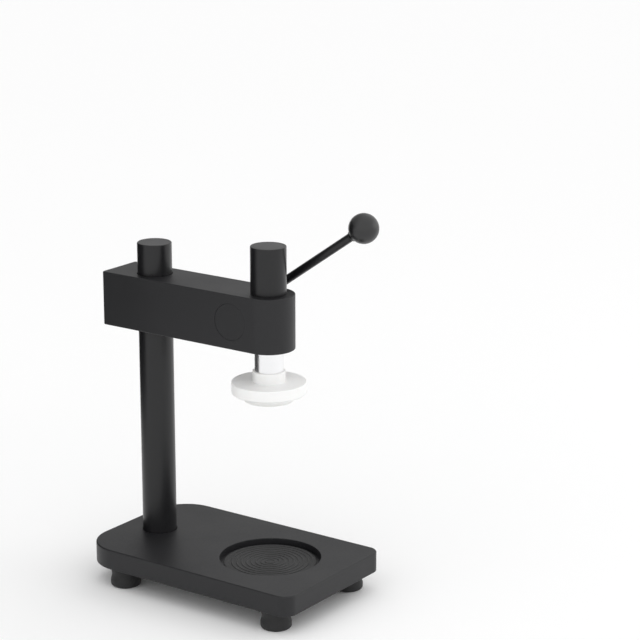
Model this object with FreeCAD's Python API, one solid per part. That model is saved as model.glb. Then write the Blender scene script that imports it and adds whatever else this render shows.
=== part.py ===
"""Bench capping press: a lever turns a pinion that drives a toothed ram down on to a jar's lid.

Frame, in millimetres: the origin is the centre of the jar seat, on the ram's axis.  +Z runs up
the ram, -Y faces the operator and +X is the operator's right, where the lever is.
"""
import FreeCAD, Part
import math
import os

Vector = FreeCAD.Vector
RIGHT = Vector(1, 0, 0)
REAR = Vector(0, 1, 0)
UP = Vector(0, 0, 1)

# ---- clearances ----
SEAT_PLAY = 0.02          # radial, between pieces pressed or screwed together
RUN_PLAY = 0.05           # radial, between pieces that slide or turn on each other
EDGE_BREAK = 0.8          # chamfer on the edges of turned pieces

# ---- base ----
BASE_WIDTH = 160.8
BASE_FRONT = 80.7         # from the ram's axis to the front edge
BASE_BEHIND_POST = 39.5   # from the post's axis to the rear edge
BASE_THICK = 21.0
BASE_FRONT_CORNER = 13.0
BASE_REAR_CORNER = 40.0
BASE_TOP_ROUND = 1.4
BASE_BOTTOM_ROUND = 0.8

# ---- jar seat ----
SEAT_RADIUS = 51.0
SEAT_DEPTH = 7.0
SEAT_RIM = 0.7
MAT_GAP = 4.5             # ring of bare floor round the mat
MAT_THICK = 2.0

# ---- feet ----
FOOT_FROM_SIDE = 19.0     # from the base's edges to the feet's axes
FOOT_FROM_FRONT = 28.2
FOOT_FROM_REAR = 44.0
FOOT_HEIGHT = 20.6
FOOT_TOP_RADIUS = 15.0
FOOT_NECK_RADIUS = 13.7
FOOT_BOTTOM_RADIUS = 15.4
FOOT_LIP = 2.4
FOOT_SOCKET_DEPTH = 8.0

# ---- post ----
POST_RADIUS = 17.5
POST_Y = 142.7
POST_SOCKET_DEPTH = 8.0
POST_WEB = 5.0
POST_ABOVE_ARM = 32.0
POST_FLAT_DEPTH = 0.6
HEAD_TRAVEL_DOWN = 100.0  # from the height shown
HEAD_TRAVEL_UP = 25.0

# ---- arm ----
ARM_BOTTOM = 222.6
ARM_HEIGHT = 55.5
ARM_WIDTH = 52.4
ARM_BEHIND_POST = 47.7
ARM_CORNER = 2.5
ARM_ROUND = 1.0
ARM_BORE_CHAMFER = 0.9

# ---- ram and its guides ----
RAM_RADIUS = 14.5
RAM_TOP = 312.0
RAM_SPIGOT_RADIUS = 8.0
RAM_SPIGOT_LENGTH = 13.4
RAM_RELIEF_GAP = 1.0      # between the bushes the ram runs clear by this much
BUSH_WALL = 3.0
BUSH_FROM_CROSS_BORE = 0.12
SLEEVE_GAP = 0.8
SLEEVE_WALL = 2.5
SLEEVE_ABOVE_ARM = 47.5
SLEEVE_SPIGOT = 3.0
CAP_THICK = 4.0
GUIDE_ABOVE_BUSH = 5.0
GUIDE_DOG_RADIUS = 3.0
GUIDE_GROOVE_DEPTH = 3.0

# ---- rack and pinion ----
GEAR_MODULE = 1.5
PINION_TEETH = 20
PINION_WIDTH = 18.0
PRESSURE_ANGLE = 20.0
BACKLASH = 0.25
LEVER_SWING = 90.0        # degrees, from raised to fully down
SHAFT_RADIUS = 7.0
PINION_ROOM = 2.0         # from the pinion's tips to the cross bore
KEY_SIZE = 4.0
KEY_IN_SHAFT = 2.4

# ---- pinion housing ----
COVER_THICK = 3.0
LEFT_PLATE_THICK = 5.6
THRUST_WASHER = 1.0
THRUST_LAND = 4.0
END_FLOAT = 0.1
CARRIER_STEP = 5.5        # the flange stands this far outside the cross bore
CARRIER_FLANGE_THICK = 3.2
CARRIER_SCREWS = 3
SHAFT_BUSH_WALL = 2.0
SPRING_SIDE_GAP = 0.75
SPRING_STRIP = 0.5
SPRING_TURNS = 5
CLIP_THICK = 1.0
ANCHOR_PIN_RADIUS = 1.2
ANCHOR_PIN_INSET = 1.6    # from the cross bore's wall to the pin's axis

# ---- lever ----
HUB_RADIUS = 20.0
HUB_THICK = 16.0
HUB_GAP = 1.0             # between the arm's side and the hub
ROD_RADIUS = 4.25
ROD_OFFSET = 13.7         # the rod crosses the hub this far off the shaft's axis
ROD_ANGLE = 34.9          # degrees above level, leaning forwards
ROD_REACH = 150.6         # from the middle of the hub's cross hole to the ball's centre
BALL_RADIUS = 14.9
BALL_NECK_RADIUS = 6.0
BALL_NECK_LENGTH = 3.0

# ---- pressing head ----
HEAD_BOTTOM = 173.0
HEAD_TOP = 200.4
HUB_NECK_WALL = 1.8       # hub outside the ram
FLANGE_TOP = 189.1
FLANGE_RADIUS = 37.3
FLANGE_SIDE = 12.2
FLANGE_ROUND = 2.5
FLANGE_FOOT_RADIUS = 27.9
PAD_INSET = 2.9
PAD_THICK = 4.0
PAD_SUNK = 1.0

# ---- screws: thread radius, head radius, head height, socket across flats ----
M3, M6, M8, M10 = 1.5, 3.0, 4.0, 5.0
WASHER_THICK = 1.6
SOCKET_SHARE = 0.55       # of a screw head's height

# ---- worked out from the sizes above ----
BASE_TOP = SEAT_DEPTH - MAT_THICK
BASE_BOTTOM = BASE_TOP - BASE_THICK
BASE_REAR = POST_Y + BASE_BEHIND_POST
MAT_RADIUS = SEAT_RADIUS - MAT_GAP
FOOT_X = BASE_WIDTH / 2 - FOOT_FROM_SIDE
FOOT_FRONT_Y = FOOT_FROM_FRONT - BASE_FRONT
FOOT_BOTTOM = BASE_BOTTOM - FOOT_HEIGHT
FOOT_REAR_Y = BASE_REAR - FOOT_FROM_REAR
ARM_TOP = ARM_BOTTOM + ARM_HEIGHT
ARM_SIDE = ARM_WIDTH / 2
ARM_REAR = POST_Y + ARM_BEHIND_POST
POST_TOP = ARM_TOP + POST_ABOVE_ARM
POST_BOTTOM = BASE_TOP - POST_SOCKET_DEPTH
RAM_BORE_RELIEF = RAM_RADIUS + RAM_RELIEF_GAP
BUSH_RADIUS = RAM_RADIUS + BUSH_WALL
SLEEVE_BORE = RAM_RADIUS + SLEEVE_GAP
SLEEVE_RADIUS = SLEEVE_BORE + SLEEVE_WALL
HUB_NECK_RADIUS = RAM_RADIUS + HUB_NECK_WALL
PAD_RADIUS = FLANGE_FOOT_RADIUS - PAD_INSET
PITCH_RADIUS = GEAR_MODULE * PINION_TEETH / 2
PINION_Y = RAM_RADIUS - GEAR_MODULE + PITCH_RADIUS
PINION_Z = ARM_BOTTOM + ARM_HEIGHT / 2
TOOTH_PITCH = math.pi * GEAR_MODULE
DEDENDUM = 1.25 * GEAR_MODULE
CROSS_BORE = PITCH_RADIUS + GEAR_MODULE + PINION_ROOM
CROSS_BORE_AT_BUSH = math.sqrt(CROSS_BORE ** 2 - (PINION_Y - BUSH_RADIUS) ** 2)
BUSH_LENGTH = ARM_HEIGHT / 2 - CROSS_BORE_AT_BUSH - BUSH_FROM_CROSS_BORE
CARRIER_FLANGE = CROSS_BORE + CARRIER_STEP
SHAFT_BUSH_RADIUS = SHAFT_RADIUS + SHAFT_BUSH_WALL
THRUST_RADIUS = SHAFT_RADIUS + THRUST_LAND
ANCHOR_PIN_AT = CROSS_BORE - ANCHOR_PIN_INSET
STROKE = PITCH_RADIUS * math.radians(LEVER_SWING)
GUIDE_Z = ARM_BOTTOM + BUSH_LENGTH + GUIDE_ABOVE_BUSH
GUIDE_THREAD_END = RAM_BORE_RELIEF + 3.0
PLATE_FACE = PINION_WIDTH / 2 + THRUST_WASHER + 1.5 * END_FLOAT
LEFT_PLATE_BACK = PLATE_FACE + LEFT_PLATE_THICK
COVER_FACE = ARM_SIDE - COVER_THICK
SHAFT_LEFT = COVER_FACE - 0.5
CLIP_NEAR = LEFT_PLATE_BACK + END_FLOAT
SPRING_LEFT = SHAFT_LEFT - END_FLOAT
SPRING_WIDTH = SPRING_LEFT - CLIP_NEAR - CLIP_THICK - SPRING_SIDE_GAP
HUB_NEAR = ARM_SIDE + HUB_GAP
HUB_FAR = HUB_NEAR + HUB_THICK
ROD_X = (HUB_NEAR + HUB_FAR) / 2
SHAFT_AXIS = Vector(0, PINION_Y, PINION_Z)
ROD_DIRECTION = Vector(0, -math.cos(math.radians(ROD_ANGLE)), math.sin(math.radians(ROD_ANGLE)))
ROD_NORMAL = Vector(0, math.sin(math.radians(ROD_ANGLE)), math.cos(math.radians(ROD_ANGLE)))
ROD_MIDDLE = Vector(ROD_X, PINION_Y, PINION_Z) + ROD_NORMAL * ROD_OFFSET


# ---- shapes that recur ----
def rod(radius, start, direction, length):
    """A plain cylinder from start, along direction."""
    return Part.makeCylinder(radius, length, start, direction)


def turned(outline, centre=Vector(0, 0, 0)):
    """Turn a closed list of (radius, height) points about the vertical through centre."""
    points = [Vector(r, 0, z) for r, z in outline]
    face = Part.Face(Part.makePolygon(points + points[:1]))
    return face.revolve(Vector(0, 0, 0), UP, 360).translate(centre)


def ring(outer, inner, start, direction, length):
    """A plain ring or washer."""
    return rod(outer, start, direction, length).cut(rod(inner, start, direction, length))


def chamfered_rod(radius, start, direction, length, chamfer=EDGE_BREAK, both=False):
    """A cylinder with a chamfer on its far edge, or on both."""
    body = rod(radius, start, direction, length)
    ends = [start + direction * length] + ([start] if both else [])
    edges = [e for e in body.Edges if e.Closed and any(
        (e.Curve.Center - end).Length < 1e-6 for end in ends)]
    return body.makeChamfer(chamfer, edges)


def hexagon(across_flats, start, direction, depth):
    """A hexagonal prism, for a socket."""
    radius = across_flats / math.sqrt(3)
    prism = Part.Face(Part.makePolygon([
        Vector(radius * math.cos(math.radians(60 * i)), radius * math.sin(math.radians(60 * i)), 0)
        for i in range(7)])).extrude(UP * depth)
    prism.Placement = FreeCAD.Placement(start, FreeCAD.Rotation(UP, direction))
    return prism


def cap_screw(thread, head, height, seat, direction, length):
    """A socket screw: its head sits on seat and its shank runs along direction."""
    shank = rod(thread - SEAT_PLAY, seat, direction, length)
    crown = chamfered_rod(head, seat, direction * -1, height, 0.5)
    socket_depth = height * SOCKET_SHARE
    top = seat - direction * height
    socket = hexagon(thread * 1.6, top, direction, socket_depth)
    return crown.fuse(shank).cut(socket).removeSplitter()


def set_screw(thread, start, direction, length):
    """A headless screw with its socket at start."""
    body = chamfered_rod(thread - SEAT_PLAY, start, direction, length, 0.5)
    return body.cut(hexagon(thread, start, direction, min(3.0, length / 2)))


def outer_edges(body, height):
    """The edges that lie in the level plane at height."""
    return [e for e in body.Edges if abs(e.BoundBox.ZMin - height) < 1e-6
            and abs(e.BoundBox.ZMax - height) < 1e-6]


def at_feet():
    """Names and places of the four feet."""
    return {"foot_front_left": (-FOOT_X, FOOT_FRONT_Y), "foot_front_right": (FOOT_X, FOOT_FRONT_Y),
            "foot_rear_left": (-FOOT_X, FOOT_REAR_Y), "foot_rear_right": (FOOT_X, FOOT_REAR_Y)}


# ---- stand ----
def base_plate():
    body = Part.makeBox(BASE_WIDTH, BASE_REAR + BASE_FRONT, BASE_THICK,
                        Vector(-BASE_WIDTH / 2, -BASE_FRONT, BASE_BOTTOM))
    upright = [e for e in body.Edges if abs(e.BoundBox.ZLength - BASE_THICK) < 1e-6]
    front = [e for e in upright if e.BoundBox.YMin < 0]
    body = body.makeFillet(BASE_FRONT_CORNER, front)
    rear = [e for e in body.Edges if abs(e.BoundBox.ZLength - BASE_THICK) < 1e-6
            and e.BoundBox.YMin > BASE_REAR - 1e-3]
    body = body.makeFillet(BASE_REAR_CORNER, rear)
    body = body.makeFillet(BASE_TOP_ROUND, outer_edges(body, BASE_TOP))
    body = body.makeFillet(BASE_BOTTOM_ROUND, outer_edges(body, BASE_BOTTOM))
    seat = turned([(0, -MAT_THICK), (SEAT_RADIUS, -MAT_THICK), (SEAT_RADIUS, BASE_TOP - SEAT_RIM),
                   (SEAT_RADIUS + SEAT_RIM, BASE_TOP), (SEAT_RADIUS + SEAT_RIM, BASE_TOP + 1),
                   (0, BASE_TOP + 1)])
    post_at = Vector(0, POST_Y, 0)
    socket = turned([(0, POST_BOTTOM), (POST_RADIUS + SEAT_PLAY, POST_BOTTOM),
                     (POST_RADIUS + SEAT_PLAY, BASE_TOP - ARM_BORE_CHAMFER),
                     (POST_RADIUS + ARM_BORE_CHAMFER, BASE_TOP),
                     (POST_RADIUS + ARM_BORE_CHAMFER, BASE_TOP + 1), (0, BASE_TOP + 1)], post_at)
    bolt_hole = rod(M10 + 0.2, Vector(0, POST_Y, BASE_BOTTOM), UP, BASE_THICK)
    bolt_pocket = rod(10.5, Vector(0, POST_Y, BASE_BOTTOM - 1), UP,
                      POST_BOTTOM - POST_WEB - BASE_BOTTOM + 1)
    foot_holes = [rod(M6, Vector(x, y, BASE_BOTTOM - 1), UP, 13) for x, y in at_feet().values()]
    return body.cut(Part.Compound([seat, socket, bolt_hole, bolt_pocket] + foot_holes))


def seat_mat():
    return chamfered_rod(MAT_RADIUS, Vector(0, 0, -MAT_THICK), UP, MAT_THICK, 0.4)


def foot(x, y):
    """A waisted rubber foot with a socket below for its screw."""
    half = FOOT_HEIGHT * 0.5
    waist = Part.Arc(Vector(FOOT_TOP_RADIUS, 0, BASE_BOTTOM),
                     Vector(FOOT_NECK_RADIUS, 0, BASE_BOTTOM - half * 0.8),
                     Vector(FOOT_BOTTOM_RADIUS, 0, FOOT_BOTTOM + FOOT_LIP)).toShape()
    lip = Part.Arc(Vector(FOOT_BOTTOM_RADIUS, 0, FOOT_BOTTOM + FOOT_LIP),
                   Vector(FOOT_BOTTOM_RADIUS - 0.3 * FOOT_LIP, 0, FOOT_BOTTOM + 0.3 * FOOT_LIP),
                   Vector(FOOT_BOTTOM_RADIUS - FOOT_LIP, 0, FOOT_BOTTOM)).toShape()
    rest = Part.makePolygon([Vector(FOOT_BOTTOM_RADIUS - FOOT_LIP, 0, FOOT_BOTTOM),
                             Vector(0, 0, FOOT_BOTTOM), Vector(0, 0, BASE_BOTTOM),
                             Vector(FOOT_TOP_RADIUS, 0, BASE_BOTTOM)])
    face = Part.Face(Part.Wire([waist, lip] + rest.Edges))
    body = face.revolve(Vector(0, 0, 0), UP, 360)
    body = body.cut(rod(M6 + 0.2, Vector(0, 0, FOOT_BOTTOM), UP, FOOT_HEIGHT))
    body = body.cut(rod(6.8, Vector(0, 0, FOOT_BOTTOM - 1), UP, FOOT_SOCKET_DEPTH + 1))
    return body.translate(Vector(x, y, 0))


def foot_washers():
    level = FOOT_BOTTOM + FOOT_SOCKET_DEPTH - WASHER_THICK
    return [ring(6.2, M6 + 0.2, Vector(x, y, level), UP, WASHER_THICK) for x, y in at_feet().values()]


def foot_screws():
    level = FOOT_BOTTOM + FOOT_SOCKET_DEPTH - WASHER_THICK
    return [cap_screw(M6, 5.0, 4.0, Vector(x, y, level), UP, BASE_BOTTOM + 10 - level)
            for x, y in at_feet().values()]


def post():
    start = Vector(0, POST_Y, POST_BOTTOM)
    body = chamfered_rod(POST_RADIUS, start, UP, POST_TOP - POST_BOTTOM, EDGE_BREAK, both=True)
    screws = arm_screw_heights()
    low = screws[0] - HEAD_TRAVEL_DOWN - 2 * M8
    high = screws[-1] + HEAD_TRAVEL_UP + 2 * M8
    flat = Part.makeBox(2 * POST_RADIUS, POST_FLAT_DEPTH + 1, high - low,
                        Vector(-POST_RADIUS, POST_Y + POST_RADIUS - POST_FLAT_DEPTH, low))
    return body.cut(flat).cut(rod(M10, start, UP, 24))


def post_washer():
    under = Vector(0, POST_Y, POST_BOTTOM - POST_WEB)
    return ring(10.0, M10 + 0.2, under, UP * -1, 2.0)


def post_bolt():
    under = Vector(0, POST_Y, POST_BOTTOM - POST_WEB - 2.0)
    return cap_screw(M10, 8.75, 5.5, under, UP, POST_WEB + 2.0 + 20)


# ---- arm and what it holds ----
def head_arm():
    side = ARM_SIDE
    front = Part.Arc(Vector(side, 0, 0), Vector(0, -side, 0), Vector(-side, 0, 0)).toShape()
    rest = Part.makePolygon([Vector(-side, 0, 0), Vector(-side, ARM_REAR, 0),
                             Vector(side, ARM_REAR, 0), Vector(side, 0, 0)])
    body = Part.Face(Part.Wire([front] + rest.Edges)).extrude(UP * ARM_HEIGHT)
    body.translate(UP * ARM_BOTTOM)
    corners = [e for e in body.Edges if abs(e.BoundBox.ZLength - ARM_HEIGHT) < 1e-6
               and e.BoundBox.YMin > ARM_REAR - 1e-3]
    body = body.makeFillet(ARM_CORNER, corners)
    body = body.makeFillet(ARM_ROUND, outer_edges(body, ARM_TOP))
    body = body.makeFillet(ARM_ROUND, outer_edges(body, ARM_BOTTOM))
    bore = POST_RADIUS + RUN_PLAY
    flare = bore + ARM_BORE_CHAMFER
    post_bore = turned([(0, ARM_BOTTOM - 1), (flare, ARM_BOTTOM - 1), (flare, ARM_BOTTOM),
                        (bore, ARM_BOTTOM + ARM_BORE_CHAMFER), (bore, ARM_TOP - ARM_BORE_CHAMFER),
                        (flare, ARM_TOP), (flare, ARM_TOP + 1), (0, ARM_TOP + 1)],
                       Vector(0, POST_Y, 0))
    low, high = ARM_BOTTOM + BUSH_LENGTH, ARM_TOP - BUSH_LENGTH
    ram_bore = turned([(0, ARM_BOTTOM - 1), (BUSH_RADIUS, ARM_BOTTOM - 1), (BUSH_RADIUS, low),
                       (RAM_BORE_RELIEF, low), (RAM_BORE_RELIEF, high), (BUSH_RADIUS, high),
                       (BUSH_RADIUS, ARM_TOP + 1), (0, ARM_TOP + 1)])
    cross = rod(CROSS_BORE, SHAFT_AXIS - RIGHT * (ARM_SIDE + 1), RIGHT, ARM_WIDTH + 2)
    flange_seat = rod(CARRIER_FLANGE, SHAFT_AXIS + RIGHT * (ARM_SIDE - CARRIER_FLANGE_THICK),
                      RIGHT, CARRIER_FLANGE_THICK + 1)
    carrier_holes = [rod(M3, at - RIGHT * 8, RIGHT, 9) for at in carrier_screw_places()]
    guide_hole = rod(M8, Vector(ARM_SIDE + 1, 0, GUIDE_Z), RIGHT * -1, ARM_SIDE)
    set_holes = [rod(M8, Vector(0, ARM_REAR + 1, z), REAR * -1, ARM_REAR + 1 - POST_Y)
                 for z in arm_screw_heights()]
    return body.cut(Part.Compound([post_bore, ram_bore])).cut(cross).cut(
        Part.Compound([flange_seat] + carrier_holes)).cut(Part.Compound([guide_hole] + set_holes))


def arm_screw_heights():
    return [ARM_BOTTOM + ARM_HEIGHT * share for share in (0.25, 0.75)]


def arm_set_screws():
    tip = POST_Y + POST_RADIUS - POST_FLAT_DEPTH + RUN_PLAY
    return [set_screw(M8, Vector(0, ARM_REAR - 0.4, z), REAR * -1, ARM_REAR - 0.4 - tip)
            for z in arm_screw_heights()]


def carrier_screw_places():
    """Points on the carrier's outer face, midway across its flange."""
    at = (CROSS_BORE + CARRIER_FLANGE) / 2
    face = SHAFT_AXIS + RIGHT * (ARM_SIDE - CARRIER_FLANGE_THICK)
    angles = [math.radians(90 + 360 * i / CARRIER_SCREWS) for i in range(CARRIER_SCREWS)]
    return [face + Vector(0, at * math.cos(a), at * math.sin(a)) for a in angles]


def carrier_head(at):
    """The countersunk head of one carrier screw, flush with the flange."""
    depth = 1.7
    return Part.makeCone(M3, M3 + depth * 0.72, depth,
                         at + RIGHT * (CARRIER_FLANGE_THICK - depth), RIGHT)


def bearing_carrier():
    start = SHAFT_AXIS + RIGHT * PLATE_FACE
    length = ARM_SIDE - PLATE_FACE
    body = rod(CROSS_BORE - SEAT_PLAY, start, RIGHT, length)
    flange = rod(CARRIER_FLANGE - SEAT_PLAY, SHAFT_AXIS + RIGHT * (ARM_SIDE - CARRIER_FLANGE_THICK),
                 RIGHT, CARRIER_FLANGE_THICK)
    body = body.fuse(flange).removeSplitter()
    body = body.cut(rod(SHAFT_BUSH_RADIUS, start, RIGHT, length))
    holes = [rod(M3, at, RIGHT, CARRIER_FLANGE_THICK).fuse(carrier_head(at))
             for at in carrier_screw_places()]
    return body.cut(Part.Compound(holes)).cut(ram_clearance())


def ram_clearance():
    """The space around the ram that the pinion housing stays out of."""
    return rod(RAM_BORE_RELIEF, Vector(0, 0, ARM_BOTTOM), UP, ARM_HEIGHT)


def carrier_screws():
    screws = []
    for at in carrier_screw_places():
        shank = rod(M3 - SEAT_PLAY, at - RIGHT * 7, RIGHT, 7 + CARRIER_FLANGE_THICK - 0.1)
        head = carrier_head(at)
        head.scale(0.995, at + RIGHT * CARRIER_FLANGE_THICK)
        whole = shank.fuse(head).removeSplitter()
        face = at + RIGHT * CARRIER_FLANGE_THICK
        screws.append(whole.cut(hexagon(2.0, face, RIGHT * -1, 1.2)))
    return screws


def left_bearing_plate():
    start = SHAFT_AXIS - RIGHT * LEFT_PLATE_BACK
    body = ring(CROSS_BORE - SEAT_PLAY, SHAFT_BUSH_RADIUS, start, RIGHT, LEFT_PLATE_THICK)
    body = body.cut(rod(ANCHOR_PIN_RADIUS, anchor_pin_start(), RIGHT, SHAFT_LEFT))
    return body.cut(ram_clearance())


def anchor_pin_start():
    """The outer end of the pin that holds the spring's outer coil."""
    return SHAFT_AXIS + Vector(-SHAFT_LEFT, ANCHOR_PIN_AT, 0)


def spring_anchor_pin():
    return rod(ANCHOR_PIN_RADIUS - SEAT_PLAY, anchor_pin_start(), RIGHT, SHAFT_LEFT - PLATE_FACE - 1)


def shaft_bush(near, far):
    """A plain bush on the shaft from x = near to x = far."""
    return ring(SHAFT_BUSH_RADIUS - SEAT_PLAY, SHAFT_RADIUS + RUN_PLAY,
                SHAFT_AXIS + RIGHT * near, RIGHT, far - near)


def pinion_cover():
    """The flush round plate that closes the cross bore on the operator's left."""
    body = chamfered_rod(CROSS_BORE - SEAT_PLAY, SHAFT_AXIS - RIGHT * COVER_FACE, RIGHT * -1,
                         COVER_THICK, 0.4)
    return body.cut(ram_clearance())


def ram_bush(start, direction, length):
    """A bronze bush pressed into the arm, for the ram."""
    return ring(BUSH_RADIUS - SEAT_PLAY, RAM_RADIUS + RUN_PLAY, start, direction, length)


def ram_guide_screw():
    outside = Vector(ARM_SIDE - 0.6, 0, GUIDE_Z)
    screw = set_screw(M8, outside, RIGHT * -1, outside.x - GUIDE_THREAD_END)
    tip = RAM_RADIUS - GUIDE_GROOVE_DEPTH + 0.3
    dog_start = Vector(GUIDE_THREAD_END + 0.5, 0, GUIDE_Z)
    dog = rod(GUIDE_DOG_RADIUS, dog_start, RIGHT * -1, dog_start.x - tip)
    return screw.fuse(dog).removeSplitter()


def ram_sleeve():
    """The fixed dust sleeve that the ram rises into."""
    tube = chamfered_rod(SLEEVE_RADIUS, Vector(0, 0, ARM_TOP), UP, SLEEVE_ABOVE_ARM)
    spigot = rod(BUSH_RADIUS - SEAT_PLAY, Vector(0, 0, ARM_TOP - SLEEVE_SPIGOT), UP, SLEEVE_SPIGOT)
    bore = rod(SLEEVE_BORE, Vector(0, 0, ARM_TOP - SLEEVE_SPIGOT), UP,
               SLEEVE_SPIGOT + SLEEVE_ABOVE_ARM)
    return tube.fuse(spigot).removeSplitter().cut(bore)


def sleeve_cap():
    return chamfered_rod(SLEEVE_BORE - SEAT_PLAY, Vector(0, 0, ARM_TOP + SLEEVE_ABOVE_ARM - CAP_THICK),
                         UP, CAP_THICK, 0.3)


# ---- ram and pressing head ----
def rack_gap(centre):
    """The space between two rack teeth, as a bar across the ram."""
    slope = math.tan(math.radians(PRESSURE_ANGLE))
    half = TOOTH_PITCH / 4 + BACKLASH / 2
    pitch_line = RAM_RADIUS - GEAR_MODULE
    inner, outer = pitch_line - DEDENDUM, RAM_RADIUS + 0.5
    points = [(inner, half - slope * DEDENDUM), (outer, half + slope * (outer - pitch_line))]
    shape = [Vector(-RAM_RADIUS, y, centre - z) for y, z in points]
    shape += [Vector(-RAM_RADIUS, y, centre + z) for y, z in reversed(points)]
    return Part.Face(Part.makePolygon(shape + shape[:1])).extrude(RIGHT * 2 * RAM_RADIUS)


def ram():
    body = chamfered_rod(RAM_RADIUS, Vector(0, 0, HEAD_TOP), UP, RAM_TOP - HEAD_TOP, 1.0)
    spigot = rod(RAM_SPIGOT_RADIUS - SEAT_PLAY, Vector(0, 0, HEAD_TOP - RAM_SPIGOT_LENGTH), UP,
                 RAM_SPIGOT_LENGTH)
    body = body.fuse(spigot).removeSplitter()
    below = 2
    above = math.ceil(STROKE / TOOTH_PITCH) + 2
    gaps = [rack_gap(PINION_Z + TOOTH_PITCH * i) for i in range(-below, above + 1)]
    foot_of_groove = GUIDE_Z - GUIDE_DOG_RADIUS - RUN_PLAY
    groove = Part.makeBox(GUIDE_GROOVE_DEPTH + 1, 2 * (GUIDE_DOG_RADIUS + RUN_PLAY),
                          STROKE + 2 * GUIDE_DOG_RADIUS + 3 * RUN_PLAY,
                          Vector(RAM_RADIUS - GUIDE_GROOVE_DEPTH, -GUIDE_DOG_RADIUS - RUN_PLAY,
                                 foot_of_groove))
    tapped = rod(M8, Vector(0, 0, HEAD_TOP - RAM_SPIGOT_LENGTH), UP, 16)
    return body.cut(Part.Compound(gaps)).cut(groove).cut(tapped)


def pressing_head():
    web_top = HEAD_TOP - RAM_SPIGOT_LENGTH
    side_end = FLANGE_TOP - FLANGE_SIDE
    body = turned([(0, HEAD_BOTTOM), (FLANGE_FOOT_RADIUS, HEAD_BOTTOM),
                   (FLANGE_FOOT_RADIUS, side_end), (FLANGE_RADIUS, side_end),
                   (FLANGE_RADIUS, FLANGE_TOP), (HUB_NECK_RADIUS, FLANGE_TOP),
                   (HUB_NECK_RADIUS, HEAD_TOP), (0, HEAD_TOP)])
    body = body.makeFillet(FLANGE_ROUND, [e for e in outer_edges(body, side_end)
                                          if e.Curve.Radius == FLANGE_RADIUS])
    rims = [e for z in (FLANGE_TOP, HEAD_TOP) for e in outer_edges(body, z)
            if e.Curve.Radius in (FLANGE_RADIUS, HUB_NECK_RADIUS) and not (
                z == FLANGE_TOP and e.Curve.Radius == HUB_NECK_RADIUS)]
    body = body.makeFillet(0.8, rims)
    return body.cut(turned([
        (0, HEAD_BOTTOM - 1), (PAD_RADIUS + SEAT_PLAY, HEAD_BOTTOM - 1),
        (PAD_RADIUS + SEAT_PLAY, HEAD_BOTTOM + PAD_SUNK), (8.5, HEAD_BOTTOM + PAD_SUNK),
        (8.5, web_top - 3.5), (M8 + 0.2, web_top - 3.5), (M8 + 0.2, web_top),
        (RAM_SPIGOT_RADIUS, web_top), (RAM_SPIGOT_RADIUS, HEAD_TOP + 1), (0, HEAD_TOP + 1)]))


def pressing_pad():
    top = HEAD_BOTTOM + PAD_SUNK
    return chamfered_rod(PAD_RADIUS, Vector(0, 0, top), UP * -1, PAD_THICK, 0.6)


def head_washer():
    level = HEAD_TOP - RAM_SPIGOT_LENGTH - 3.5
    return ring(8.0, M8 + 0.2, Vector(0, 0, level), UP * -1, WASHER_THICK)


def head_screw():
    level = HEAD_TOP - RAM_SPIGOT_LENGTH - 3.5 - WASHER_THICK
    return cap_screw(M8, 6.5, 7.5, Vector(0, 0, level), UP, 17)


# ---- pinion, shaft and spring ----
def pinion():
    """A spur pinion with involute flanks, one tooth pointing at the ram."""
    base_radius = PITCH_RADIUS * math.cos(math.radians(PRESSURE_ANGLE))
    tip_radius = PITCH_RADIUS + GEAR_MODULE
    root_radius = PITCH_RADIUS - DEDENDUM

    def roll(radius):
        """Angle of the involute at a radius, measured from where it leaves the base circle."""
        run = math.sqrt((radius / base_radius) ** 2 - 1)
        return run - math.atan(run)

    half_tooth = math.pi / (2 * PINION_TEETH) + roll(PITCH_RADIUS)
    steps = 6
    radii = [base_radius + (tip_radius - base_radius) * i / steps for i in range(steps + 1)]
    centre_line = math.pi
    edges = []

    def place(radius, angle):
        return SHAFT_AXIS + Vector(-PINION_WIDTH / 2, radius * math.cos(angle), radius * math.sin(angle))

    for tooth in range(PINION_TEETH):
        middle = centre_line + 2 * math.pi * tooth / PINION_TEETH
        gap = middle + math.pi / PINION_TEETH
        rise = [place(r, middle - half_tooth + roll(r)) for r in radii]
        fall = [place(r, middle + half_tooth - roll(r)) for r in reversed(radii)]
        up, down = Part.BSplineCurve(), Part.BSplineCurve()
        up.interpolate(rise)
        down.interpolate(fall)
        foot_in = place(root_radius, middle - half_tooth)
        foot_out = place(root_radius, middle + half_tooth)
        next_foot = place(root_radius, middle + 2 * math.pi / PINION_TEETH - half_tooth)
        edges += [Part.makeLine(foot_in, rise[0]), up.toShape(),
                  Part.Arc(rise[-1], place(tip_radius, middle), fall[0]).toShape(), down.toShape(),
                  Part.makeLine(fall[-1], foot_out),
                  Part.Arc(foot_out, place(root_radius, gap), next_foot).toShape()]
    body = Part.Face(Part.Wire(edges)).extrude(RIGHT * PINION_WIDTH)
    start = SHAFT_AXIS - RIGHT * (PINION_WIDTH / 2 + 1)
    body = body.cut(rod(SHAFT_RADIUS + SEAT_PLAY, start, RIGHT, PINION_WIDTH + 2))
    return body.cut(key_at(-PINION_WIDTH, 2 * PINION_WIDTH, SEAT_PLAY))


def key_at(start, length, play=0.0):
    """A key along the top of the shaft from x = start."""
    low = PINION_Z + SHAFT_RADIUS - KEY_IN_SHAFT
    return Part.makeBox(length, KEY_SIZE + 2 * play, KEY_SIZE + play,
                        Vector(start, PINION_Y - KEY_SIZE / 2 - play, low))


def pinion_key():
    return key_at(-PINION_WIDTH / 2 + 1, PINION_WIDTH - 2)


def hub_key():
    return key_at(HUB_NEAR + 1, HUB_THICK - 2)


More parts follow.
